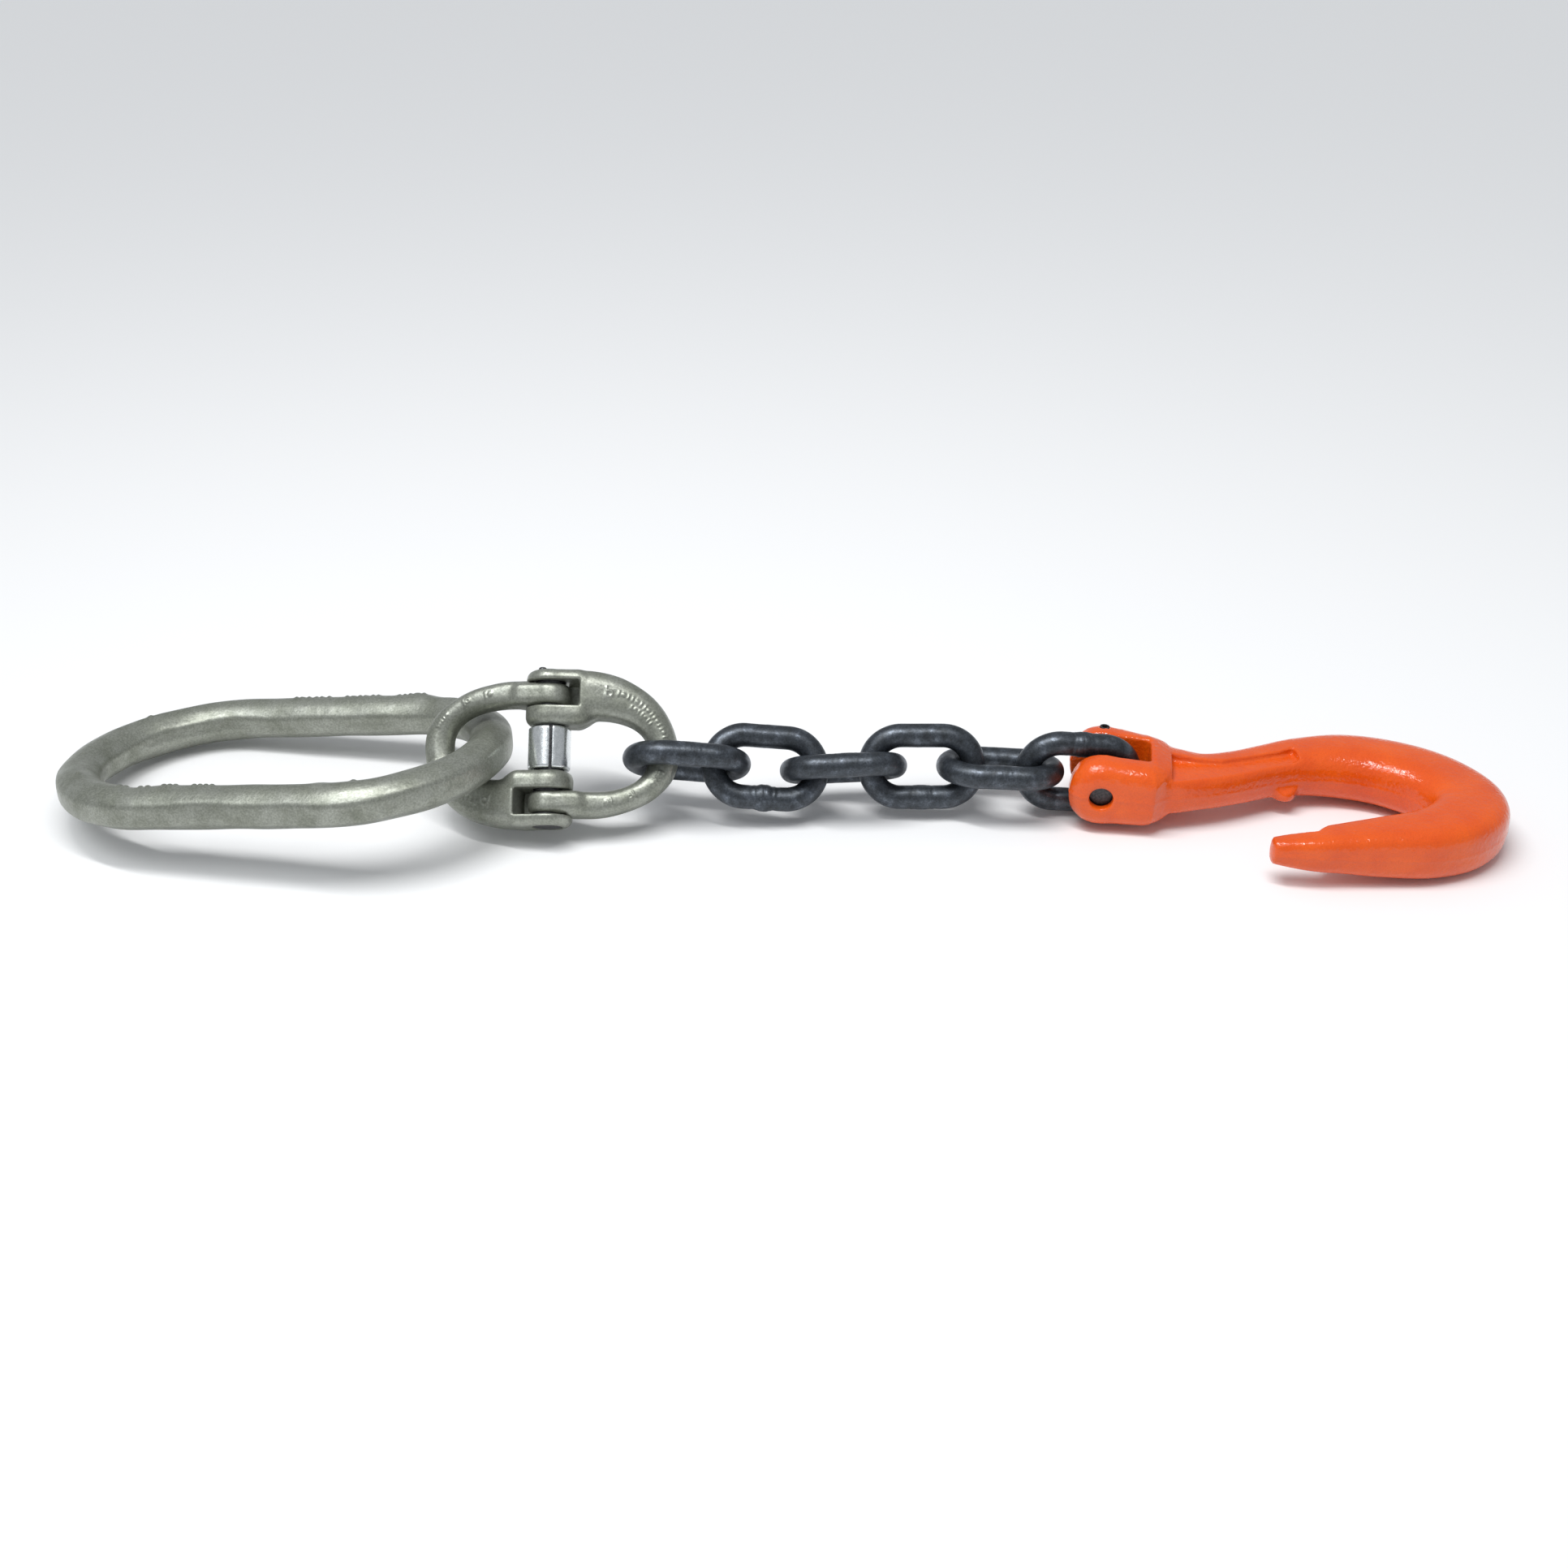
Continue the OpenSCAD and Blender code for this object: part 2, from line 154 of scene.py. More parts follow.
def surface_net(field, low, step):
    """Vertices and outward quads of the surface where a field of distances is zero."""
    inside = field < 0
    shape = np.array(field.shape)
    weight = np.array([shape[1] * shape[2], shape[2], 1])
    points, quads = [], []
    for axis in range(3):
        ahead = np.zeros(3, int)
        ahead[axis] = 1
        near = tuple(slice(0, n - 1) if a == axis else slice(None) for a, n in enumerate(shape))
        far = tuple(slice(1, n) if a == axis else slice(None) for a, n in enumerate(shape))
        start = np.argwhere(inside[near] != inside[far])
        before, after = field[tuple(start.T)], field[tuple((start + ahead).T)]
        points.append(start + (before / (before - after))[:, None] * ahead)
        u, v = (axis + 1) % 3, (axis + 2) % 3
        cells = []
        for back_u, back_v in ((0, 0), (1, 0), (1, 1), (0, 1)):
            cell = start.copy()
            cell[:, u] -= back_u
            cell[:, v] -= back_v
            cells.append(cell @ weight)
        quad = np.stack(cells, 1)
        quads.append(np.where((before < 0)[:, None], quad, quad[:, ::-1]))
    quads = np.concatenate(quads)
    points = np.repeat(np.concatenate(points), 4, axis=0)
    _, order = np.unique(quads.ravel(), return_inverse=True)
    count = np.bincount(order)
    vertices = np.stack([np.bincount(order, points[:, a]) / count for a in range(3)], 1)
    return vertices * step + low, order.reshape(quads.shape)


def grid(low, high, step):
    """Coordinates of a grid of points, as three arrays that broadcast to its whole block."""
    x, y, z = (np.arange(a - 2 * step, b + 2.5 * step, step) for a, b in zip(low, high))
    return x[:, None, None], y[None, :, None], z[None, None, :]


def mesh_of_field(field, axes, step):
    low = np.array([axes[0].min(), axes[1].min(), axes[2].min()])
    return surface_net(np.broadcast_to(field, [a.size for a in axes]), low, step)


def join_soft(a, b, k):
    """Union of two distances with a fillet."""
    h = np.clip(0.5 + 0.5 * (b - a) / k, 0, 1)
    return b + (a - b) * h - k * h * (1 - h)


def meet_soft(a, b, k):
    """Intersection of two distances with a rounded edge."""
    return -join_soft(-a, -b, k)


def slab(v, low, high):
    return np.abs(v - (low + high) / 2) - (high - low) / 2


def polygon_distance(x, y, corners):
    """Distance to a polygon's outline, negative inside."""
    nearest = np.full(np.broadcast(x, y).shape, 1e9)
    sign = np.ones(nearest.shape)
    for (ax, ay), (bx, by) in zip(corners, corners[-1:] + corners[:-1]):
        ex, ey = bx - ax, by - ay
        wx, wy = x - ax, y - ay
        t = np.clip((wx * ex + wy * ey) / (ex * ex + ey * ey), 0, 1)
        nearest = np.minimum(nearest, (wx - ex * t) ** 2 + (wy - ey * t) ** 2)
        above, below, left = y >= ay, y < by, ex * wy > ey * wx
        sign = np.where((above & below & left) | (~above & ~below & ~left), -sign, sign)
    return sign * np.sqrt(nearest)


def segment_distance(x, y, a, b):
    ex, ey = b[0] - a[0], b[1] - a[1]
    t = np.clip(((x - a[0]) * ex + (y - a[1]) * ey) / max(ex * ex + ey * ey, 1e-9), 0, 1)
    return np.hypot(x - a[0] - ex * t, y - a[1] - ey * t)


def sweep_distance(axes, line, end_cap):
    """Distance to a rounded section swept along a flat line: line holds x, y, half width, half
    thickness and squareness along it. end_cap rounds the line's last end."""
    x, y, z = axes
    px, py, half_w, half_t, square = line.T
    tx, ty = np.gradient(px), np.gradient(py)
    length = np.hypot(tx, ty)
    tx, ty = tx / length, ty / length
    xs, ys = x[:, 0, 0], y[0, :, 0]
    nearest = np.stack([((ys[:, None] - py) ** 2 + (a - px) ** 2).argmin(1) for a in xs])
    off_x, off_y = xs[:, None] - px[nearest], ys[None, :] - py[nearest]
    across = np.abs(off_y * tx[nearest] - off_x * ty[nearest])[:, :, None]
    past = (off_x * tx[nearest] + off_y * ty[nearest])
    beyond = np.where(nearest == len(px) - 1, past, 0)[:, :, None]
    before = np.where(nearest == 0, -past, -1e3)[:, :, None]
    w, t, e = (v[nearest][:, :, None] for v in (half_w, half_t, square))
    up = np.abs(z)
    beyond = np.maximum(beyond, 0) / end_cap * w
    across = np.hypot(across, beyond)
    g = ((across / w) ** e + (up / t) ** e + 1e-12) ** (1 / e)
    slope = g ** (1 - e) * np.hypot(across ** (e - 1) / w ** e, up ** (e - 1) / t ** e)
    d = np.maximum((g - 1) / np.maximum(slope, 0.02), -np.minimum(w, t))
    return np.maximum(d, before)


def smooth_line(controls, steps):
    """Points on a smooth curve through rows of control values."""
    rows = np.array(controls, float)
    last = len(rows) - 1
    out = []
    for s in np.linspace(0, last, steps):
        i = min(int(s), last - 1)
        t = s - i
        a, b, c, d = rows[max(i - 1, 0)], rows[i], rows[i + 1], rows[min(i + 2, last)]
        out.append(0.5 * (2 * b + (c - a) * t + (2 * a - 5 * b + 4 * c - d) * t * t
                          + (3 * b - a - 3 * c + d) * t * t * t))
    return np.array(out)


def ring_sweep(inside_len, inside_w, bar, radius, rings, sides, dense_at):
    """An oblong ring of bar in the XY plane. radius(s, angle, total) gives the bar's radius from
    the way along the ring, from the middle of its +Y leg clockwise, and the angle round the
    bar, from outwards over the top. Rings crowd together at dense_at, a share of the way."""
    run = (inside_len - inside_w) / 2
    bend = (inside_w + bar) / 2
    quarter = bend * pi
    total = 4 * run + 2 * quarter
    q = np.arange(rings) / rings
    crowd = 0.7
    s = (q - crowd * np.sin(2 * pi * (q - dense_at)) / (2 * pi)) % 1 * total
    centres, outs = [], []
    for at in s:
        if at <= run:
            centre, out = (at, bend), (0, 1)
        elif at <= run + quarter:
            a = (at - run) / bend
            out = (sin(a), cos(a))
            centre = (run + bend * out[0], bend * out[1])
        elif at <= 3 * run + quarter:
            centre, out = (2 * run + quarter - at, -bend), (0, -1)
        elif at <= 3 * run + 2 * quarter:
            a = (at - 3 * run - quarter) / bend
            out = (-sin(a), -cos(a))
            centre = (-run + bend * out[0], bend * out[1])
        else:
            centre, out = (at - total, bend), (0, 1)
        centres.append((*centre, 0))
        outs.append((*out, 0))
    centres, outs = np.array(centres), np.array(outs)
    angle = np.arange(sides) / sides * 2 * pi
    r = radius(s[:, None], angle[None, :], total)
    vertices = (centres[:, None, :] + outs[:, None, :] * (r * np.cos(angle))[:, :, None]
                + np.array([0, 0, 1.0]) * (r * np.sin(angle))[:, :, None])
    i, j = np.meshgrid(np.arange(rings), np.arange(sides), indexing="ij")
    i_next, j_next = (i + 1) % rings, (j + 1) % sides
    faces = np.stack([i * sides + j, i * sides + j_next, i_next * sides + j_next, i_next * sides + j], -1)
    return vertices.reshape(-1, 3), faces.reshape(-1, 4)


def add_piece(name, mesh_data, turn, place, node, body, material):
    """A mesh laid where its CAD node lies, which it stands for."""
    vertices, faces = mesh_data
    mesh = bpy.data.meshes.new(name)
    mesh.from_pydata(((vertices @ turn.T + place) * MM).tolist(), [], faces.tolist())
    mesh.materials.append(material)
    mesh.shade_smooth()
    mesh.validate()
    piece = bpy.data.objects.new(name, mesh)
    bpy.context.scene.collection.objects.link(piece)
    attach(piece, body)
    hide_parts(node)
    return piece


# ---- materials ----

def start_material(name):
    material = bpy.data.materials.new(name)
    material.use_nodes = True
    nodes = material.node_tree.nodes
    return material, nodes, material.node_tree.links, nodes["Principled BSDF"]


def noise(nodes, links, coords, size_mm, detail=3.0, rough=0.55):
    """A noise texture whose patches are about size_mm across."""
    node = nodes.new("ShaderNodeTexNoise")
    node.inputs["Scale"].default_value = 1 / (size_mm * MM)
    node.inputs["Detail"].default_value = detail
    node.inputs["Roughness"].default_value = rough
    links.new(coords, node.inputs["Vector"])
    return node.outputs["Fac"]


def ramp(nodes, links, value, stops):
    """Colours or greys spread over a value, as (position, colour) stops."""
    node = nodes.new("ShaderNodeValToRGB")
    elements = node.color_ramp.elements
    while len(elements) < len(stops):
        elements.new(0.5)
    for element, (at, colour) in zip(elements, stops):
        element.position = at
        element.color = (*colour, 1) if len(colour) == 3 else (colour[0],) * 3 + (1,)
    links.new(value, node.inputs["Fac"])
    return node.outputs["Color"]


def bump(nodes, links, height, distance_mm, strength, normal=None):
    node = nodes.new("ShaderNodeBump")
    node.inputs["Distance"].default_value = distance_mm * MM
    node.inputs["Strength"].default_value = strength
    links.new(height, node.inputs["Height"])
    if normal:
        links.new(normal, node.inputs["Normal"])
    return node.outputs["Normal"]


def mixed(nodes, links, factor, a, b, mode="MIX"):
    node = nodes.new("ShaderNodeMix")
    node.data_type = "RGBA"
    node.blend_type = mode
    for socket, value in (("Factor", factor), ("A", a), ("B", b)):
        target = next(i for i in node.inputs if i.name == socket and i.enabled)
        if isinstance(value, (int, float)):
            target.default_value = value
        else:
            links.new(value, target)
    return next(o for o in node.outputs if o.enabled)


def silver_paint():
    """Thin silver-grey paint over a forged surface: fine flake, darker scale and soft dents."""
    material, nodes, links, shader = start_material("silver_paint")
    coords = nodes.new("ShaderNodeTexCoord").outputs["Object"]
    flake = noise(nodes, links, coords, 0.8, 2)
    cloud = noise(nodes, links, coords, 9, 3)
    dents = noise(nodes, links, coords, 4.5, 2)
    tone = ramp(nodes, links, cloud, ((0.3, (0.27, 0.285, 0.235)), (0.7, (0.40, 0.415, 0.365))))
    grain = ramp(nodes, links, flake, ((0.3, (0.66,)), (0.7, (1,))))
    links.new(mixed(nodes, links, 1.0, tone, grain, "MULTIPLY"), shader.inputs["Base Color"])
    shader.inputs["Metallic"].default_value = 0.65
    links.new(ramp(nodes, links, cloud, ((0.3, (0.46,)), (0.7, (0.34,)))), shader.inputs["Roughness"])
    soft = bump(nodes, links, dents, 0.5, 0.35)
    links.new(bump(nodes, links, flake, 0.12, 0.35, soft), shader.inputs["Normal"])
    return material


def chain_steel():
    """Heat-treated chain: near-black scale with a blue sheen, rubbed lighter in patches."""
    material, nodes, links, shader = start_material("chain_steel")
    coords = nodes.new("ShaderNodeTexCoord").outputs["Object"]
    grain = noise(nodes, links, coords, 0.7, 3)
    patches = noise(nodes, links, coords, 4, 4, 0.6)
    tone = ramp(nodes, links, patches, ((0.32, (0.045, 0.050, 0.055)), (0.56, (0.085, 0.095, 0.108)),
                                        (0.74, (0.18, 0.20, 0.23))))
    speckle = ramp(nodes, links, grain, ((0.35, (0.6,)), (0.65, (1,))))
    links.new(mixed(nodes, links, 1.0, tone, speckle, "MULTIPLY"), shader.inputs["Base Color"])
    shader.inputs["Metallic"].default_value = 0.8
    links.new(ramp(nodes, links, patches, ((0.3, (0.5,)), (0.7, (0.34,)))), shader.inputs["Roughness"])
    shader.inputs["Coat Weight"].default_value = 0.25
    shader.inputs["Coat Roughness"].default_value = 0.35
    shader.inputs["Coat Tint"].default_value = (0.75, 0.86, 1, 1)
    soft = bump(nodes, links, patches, 0.3, 0.3)
    links.new(bump(nodes, links, grain, 0.1, 0.4, soft), shader.inputs["Normal"])
    return material


def orange_paint():
    """Thick glossy enamel with orange peel, which breaks its highlights into speckles."""
    material, nodes, links, shader = start_material("orange_paint")
    coords = nodes.new("ShaderNodeTexCoord").outputs["Object"]
    peel = noise(nodes, links, coords, 1.6, 2)
    fine = noise(nodes, links, coords, 0.5, 2)
    runs = noise(nodes, links, coords, 14, 3)
    tone = ramp(nodes, links, runs, ((0.3, (0.74, 0.080, 0.001)), (0.7, (0.83, 0.108, 0.002))))
    speckle = ramp(nodes, links, fine, ((0.25, (0.86,)), (0.6, (1,))))
    links.new(mixed(nodes, links, 1.0, tone, speckle, "MULTIPLY"), shader.inputs["Base Color"])
    shader.inputs["Roughness"].default_value = 0.5
    shader.inputs["Specular IOR Level"].default_value = 0.15
    shader.inputs["Coat Weight"].default_value = 0.9
    shader.inputs["Coat Roughness"].default_value = 0.06
    soft = bump(nodes, links, runs, 0.6, 0.25)
    peeled = bump(nodes, links, peel, 0.3, 1, soft)
    links.new(peeled, shader.inputs["Normal"])
    links.new(peeled, shader.inputs["Coat Normal"])
    return material


def bright_zinc():
    """Bright plated spring steel, with a fine grain in its tone, roughness and surface."""
    material, nodes, links, shader = start_material("zinc_sleeve")
    coords = nodes.new("ShaderNodeTexCoord").outputs["Object"]
    grain = noise(nodes, links, coords, 1.2, 3)
    tone = ramp(nodes, links, grain, ((0.3, (0.70, 0.73, 0.74)), (0.7, (0.86, 0.89, 0.90))))
    links.new(tone, shader.inputs["Base Color"])
    shader.inputs["Metallic"].default_value = 0.95
    links.new(ramp(nodes, links, grain, ((0.3, (0.2,)), (0.7, (0.3,)))), shader.inputs["Roughness"])
    links.new(bump(nodes, links, grain, 0.05, 0.2), shader.inputs["Normal"])
    return material


def dark_pin_steel():
    """Oiled dark steel of the pins."""
    material, nodes, links, shader = start_material("pin_steel")
    coords = nodes.new("ShaderNodeTexCoord").outputs["Object"]
    grain = noise(nodes, links, coords, 0.9, 3)
    tone = ramp(nodes, links, grain, ((0.3, (0.035, 0.035, 0.037)), (0.7, (0.11, 0.11, 0.115))))
    links.new(tone, shader.inputs["Base Color"])
    shader.inputs["Metallic"].default_value = 0.8
    links.new(ramp(nodes, links, grain, ((0.3, (0.36,)), (0.7, (0.5,)))), shader.inputs["Roughness"])
    links.new(bump(nodes, links, grain, 0.08, 0.3), shader.inputs["Normal"])
    return material


SILVER = silver_paint()
CHAIN = chain_steel()
ORANGE = orange_paint()
ZINC = bright_zinc()
PIN_STEEL = dark_pin_steel()


# ---- chain links ----

def link_radius(weld_at, boldness, seed):
    """Radius of a link's wire: a rolled bar with a weld that was upset and trimmed."""
    def radius(s, angle, total):
        away = np.abs((s - weld_at * total + total / 2) % total - total / 2)
        lumps = 0.78 + 0.22 * np.sin(2 * angle + seed)
        bead = boldness * BEAD_RISE * np.exp(-(away / 2.5) ** 4) * lumps
        drift = 0.6 * np.sin(angle + seed)
        trim = (0.10 * np.exp(-((away + drift - 3.6) / 0.5) ** 2)
                - 0.10 * np.exp(-((away + drift - 4.8) / 0.8) ** 2))
        groove = -0.10 * np.exp(-((away + 0.5 * drift) / 0.45) ** 2) * (0.6 + 0.4 * np.cos(angle - seed))
        uneven = 0.08 * ripple(s, 5 * np.cos(angle), 5 * np.sin(angle), 6.0, seed) - 0.08
        return WIRE / 2 + bead + (0.25 + 0.75 * boldness) * (trim + groove) + uneven
    return radius


def make_links():
    boldness = (0.15, 1.0, 0.12, 0.45, 0.15, 0.6)
    for i in range(LINKS):
        last = i == LINKS - 1
        weld_at = 0 if last else 0.5
        turn = turn_of(LINK_LAYS[i])
        node = f"chain_link_{i + 1}"
        bead_shift = (0, (-1 if last else 1) * BEAD_RISE / 2, 0)
        data = ring_sweep(PITCH, LINK_INSIDE_W, WIRE, link_radius(weld_at, boldness[i], 1.0 + 1.3 * i),
                          LINK_RINGS, LINK_SIDES, weld_at)
        add_piece(f"link_{i + 1}_skin", data, turn, middle_of(node, turn, bead_shift), node, node,
                  CHAIN)


# ---- master link ----

def master_radius(s, angle, total):
    """Radius of the master link's bar: soft flats from forging, upset places and raised marks."""
    wander = radians(5) * np.sin(s / 17) + radians(3) * np.sin(s / 6.3 + 1)
    flats = -0.55
    for ridge, high in ((26, 0.55), (-26, 0.55), (160, 0.55), (-160, 0.55), (92, 0.25), (-92, 0.25)):
        turn = (angle - radians(ridge) - wander + pi) % (2 * pi) - pi
        flats = flats + high * np.exp(-(turn / 0.26) ** 2)
    uneven = 0.18 * ripple(s, 9 * np.cos(angle), 9 * np.sin(angle), 11.0, 2.0) - 0.18
    r = MASTER_BAR / 2 + flats + uneven
    run = (MASTER_LEN - MASTER_W) / 2
    bend = (MASTER_W + MASTER_BAR) / 2
    near_leg = 2 * run + bend * pi
    # Upset places: where they are along the ring, round the bar, how long, how wide, how high
    upset = ((near_leg + 41, 165, 7, 60, -0.9), (near_leg + 27, 140, 6, 50, 0.5), (run + 4, 60, 5, 50, 0.7),
             (run + 14, 75, 6, 40, -0.5), (near_leg - 38, 120, 4, 30, 0.5))
    for at, round_at, long, wide, high in upset:
        turn = (angle - radians(round_at) + pi) % (2 * pi) - pi
        r = r + high * np.exp(-((s - at) / long) ** 2 - (turn / radians(wide)) ** 2)
    # Raised marks on the tops of both legs, and single pips, as places along and round the bar
    near_rows = [near_leg - x for x in (-47, -44, -37, -34, -27, -24.5, -22, -14, -11.5, -9, -6.5)]
    far_rows = list(np.arange(-18, 0, 3.1)) + list(np.arange(6, 24, 3.0)) + list(np.arange(30, 42, 2.8))
    marks = [(at, 101, 0.75, 1.5) for at in near_rows]
    marks += [(at % total, 74, 0.75, 1.5) for at in far_rows]
    marks += [(near_leg + 105, 100, 1.1, 1.1), (near_leg + 150, 88, 1.1, 1.1), (near_leg - 52, 112, 1.1, 1.1),
              (near_leg + 78, 92, 1, 1)]
    for at, round_at, long, wide in marks:
        turn = ((angle - radians(round_at) + pi) % (2 * pi) - pi) * MASTER_BAR / 2
        r = r + MARK_RISE * np.exp(-((s - at) / long) ** 4 - (turn / wide) ** 4)
    return r


def make_master():
    turn = turn_of(MASTER_LAY)
    data = ring_sweep(MASTER_LEN, MASTER_W, MASTER_BAR, master_radius, MASTER_RINGS,
                      MASTER_SIDES, 0.6)
    add_piece("master_link_skin", data, turn, middle_of("master_link", turn), "master_link",
              "master_link", SILVER)


# ---- coupling ----

def arch(t, a, b_up, b_down, square):
    """Point on a rounded arch about the bow's middle."""
    b = b_up if t > 0 else b_down
    c, s = cos(t), sin(t)
    return (ARM_X + a * abs(c) ** (2 / square), BOW_MID + b * abs(s) ** (2 / square) * (1 if s > 0 else -1))


def bow_line(steps):
    rows = []
    for t in np.linspace(pi / 2, -pi / 2, steps):
        outer = np.array(arch(t, BOW_REACH - ARM_X, FORK_TOP - BOW_MID, BOW_MID - ARM_OUT, 2))
        inner = np.array(arch(t, BOW_REACH - BOW_D - ARM_X, CROTCH_IN - BOW_MID, BOW_MID + TONGUE_AT, 2.5))
        k = abs(t) / (pi / 2)
        thick = BOW_D / 2 + ((PRONG_R * 0.95 - BOW_D / 2) * k * k if t > 0 else 0.6 * k)
        square = 2 + (1.5 if t > 0 else 1.2) * k * k
        rows.append((*((outer + inner) / 2), np.linalg.norm(outer - inner) / 2, thick, square))
    # Straight on at both ends, into the plates round the pin
    back = np.linspace(BOW_STRAIGHT, 0, BOW_STRAIGHT_ROWS, endpoint=False)
    first = [(rows[0][0] - b, *rows[0][1:]) for b in back]
    last = [(rows[-1][0] - b, *rows[-1][1:]) for b in back[::-1]]
    return np.array(first + rows + last)


def mark_strokes(line, shares, across, long):
    """Short bars and rings, square to the bow, at shares of the way along it."""
    strokes = []
    for n, share in enumerate(shares):
        i = int(share * (len(line) - 1))
        at = line[i, :2]
        ahead = line[min(i + 4, len(line) - 1), :2] - line[max(i - 4, 0), :2]
        ahead = ahead / np.linalg.norm(ahead)
        side = np.array([-ahead[1], ahead[0]])
        middle = at + side * across
        if n % 3 == 1:
            turns = np.arange(0, 2 * pi + 0.1, pi / 3)
            ring = [middle + long * 0.6 * (ahead * cos(a) + side * sin(a)) for a in turns]
            strokes += list(zip(ring[:-1], ring[1:]))
        else:
            strokes.append((middle - side * long, middle + side * long))
    return strokes


def raised(x, y, strokes, half_width):
    """How raised each point is, from 0 to 1, beside strokes seen from above."""
    nearest = np.full(np.broadcast(x, y).shape, 1e9)
    for a, b in strokes:
        nearest = np.minimum(nearest, segment_distance(x, y, a, b))
    return np.exp(-(nearest / half_width) ** 4)


def coupling_marks(line):
    """Strokes of the raised marks: two rows of small ones on the fork's arm, a few on the other."""
    line = line[BOW_STRAIGHT_ROWS:-BOW_STRAIGHT_ROWS]
    rows = ((np.arange(0.125, 0.42, 0.021), 1.7, 0.85), (np.arange(0.20, 0.33, 0.021), -1.6, 0.8),
            ((0.075, 0.09), 0.5, 2.4), (np.arange(0.60, 0.68, 0.02), 0.6, 0.9),
            ((0.79, 0.81), 0.3, 1.5), ((0.895, 0.915), 0.2, 1.2))
    return [stroke for shares, across, long in rows for stroke in mark_strokes(line, shares, across, long)]


def fade(v, start, end):
    """Smooth step from 0 at start to 1 at end."""
    t = np.clip((v - start) / (end - start), 0, 1)
    return t * t * (3 - 2 * t)


def end_outline(x, z, radius, end):
    """Side view of a plate round the pin: a round end and flat edges, as far as end."""
    bar = np.maximum(np.maximum(-x, x - end), np.abs(z) - radius * 0.97)
    return np.maximum(join_soft(np.hypot(x, z) - radius, bar, 0.5), x - end)


def coupling_half_mesh(seed):
    step = 0.42
    axes = grid((-PRONG_R, -30.5, -PRONG_R), (BOW_REACH, FORK_TOP, PRONG_R), step)
    x, y, z = axes
    line = bow_line(500)
    bow = sweep_distance(axes, line, 1)
    # The two round-ended ends that hold the pin
    fork = meet_soft(end_outline(x, z, PRONG_R, ARM_X + 12), slab(y, PRONG_IN_AT, FORK_TOP), 4.5)
    tongue_plate = slab(y, -TONGUE_AT - TONGUE_T, -TONGUE_AT)
    tongue = meet_soft(end_outline(x, z, TONGUE_R, ARM_X + 12), tongue_plate, 3.5)
    # They sink into the bow where the bow starts
    sink = 5 * fade(x, ARM_X - 3, ARM_X + 10)
    body = join_soft(join_soft(bow, fork + sink, 0.8), tongue + sink, 0.8)
    body = body + COUPLING_INSET + 0.12 * ripple(x, y, z, 8.0, seed)
    # Raised marks on both faces, and the thin line where the dies met
    body = body - 0.34 * raised(x, y, coupling_marks(line), 0.42) * (np.abs(z) > 2)
    body = body - 0.18 * np.exp(-(z / 0.7) ** 2) * (x > FORK_ROOT)
    # The slot for the other half's tongue, which a web closes at the back, and the pin's bore
    slot_end = np.where(z < -WEB_DEPTH, WEB_ROOT, FORK_ROOT)
    slot = meet_soft(slab(y, SLOT_AT, PRONG_OUT_AT), x - slot_end, 0.8)
    body = meet_soft(body, -slot, 1.0)
    body = meet_soft(body, PIN_R + BORE_ROOM - np.hypot(x, z), 0.6)
    return mesh_of_field(body, axes, step)


def pin_mesh():
    """Load pin with chamfered ends, and the nib left on its upper end."""
    step = 0.4
    axes = grid((-PIN_R, -FORK_TOP, -PIN_R), (PIN_R, FORK_TOP + 2, PIN_R), step)
    x, y, z = axes
    pin = meet_soft(np.hypot(x, z) - PIN_R, np.abs(y) - (FORK_TOP - PIN_INSET), 1.6)
    nib = meet_soft(np.hypot(x + 3.7, z) - 1.7, slab(y, 0, FORK_TOP + NIB_RISE), 1.0)
    return mesh_of_field(join_soft(pin, nib, 1.0), axes, step)


def sleeve_mesh():
    """Rolled spring sleeve with soft ends and its slit."""
    step = 0.3
    axes = grid((-SLEEVE_R, -SLEEVE_LEN / 2, -SLEEVE_R), (SLEEVE_R, SLEEVE_LEN / 2, SLEEVE_R), step)
    x, y, z = axes
    r = np.hypot(x, z)
    shell = meet_soft(r - SLEEVE_R, np.abs(y) - SLEEVE_LEN / 2, 1.2)
    shell = np.maximum(shell, PIN_R + BORE_ROOM - r)
    slit_at = radians(-71)
    along = x * cos(slit_at) - z * sin(slit_at)
    aside = x * sin(slit_at) + z * cos(slit_at)
    slit = np.maximum(np.abs(aside) - 0.5, -along)
    return mesh_of_field(meet_soft(shell, -slit, 0.5), axes, step)


def make_coupling():
    left = turn_of(COUPLING_LAY)
    # The pin's nib stands out of one end only, so the middle of the sleeve places the coupling
    place = middle_of("coupling_sleeve", left)
    right = left @ turn_of((0, COUPLING_FOLD, 0))
    back = left @ turn_of((0, 0, 180))
    add_piece("coupling_right_skin", coupling_half_mesh(1.0), right, place, "coupling_right_half",
              "coupling_right", SILVER)
    add_piece("coupling_left_skin", coupling_half_mesh(4.0), back, place, "coupling_left_half",
              "coupling_left", SILVER)
    add_piece("coupling_pin_skin", pin_mesh(), left, place, "coupling_pin", "coupling_pin",
              PIN_STEEL)
    add_piece("coupling_sleeve_skin", sleeve_mesh(), left, place, "coupling_sleeve", "coupling_pin",
              ZINC)


# ---- hook ----

BOWL_FROM = HOOK_REACH - 94
SHANK_FROM = FORK_END - 5


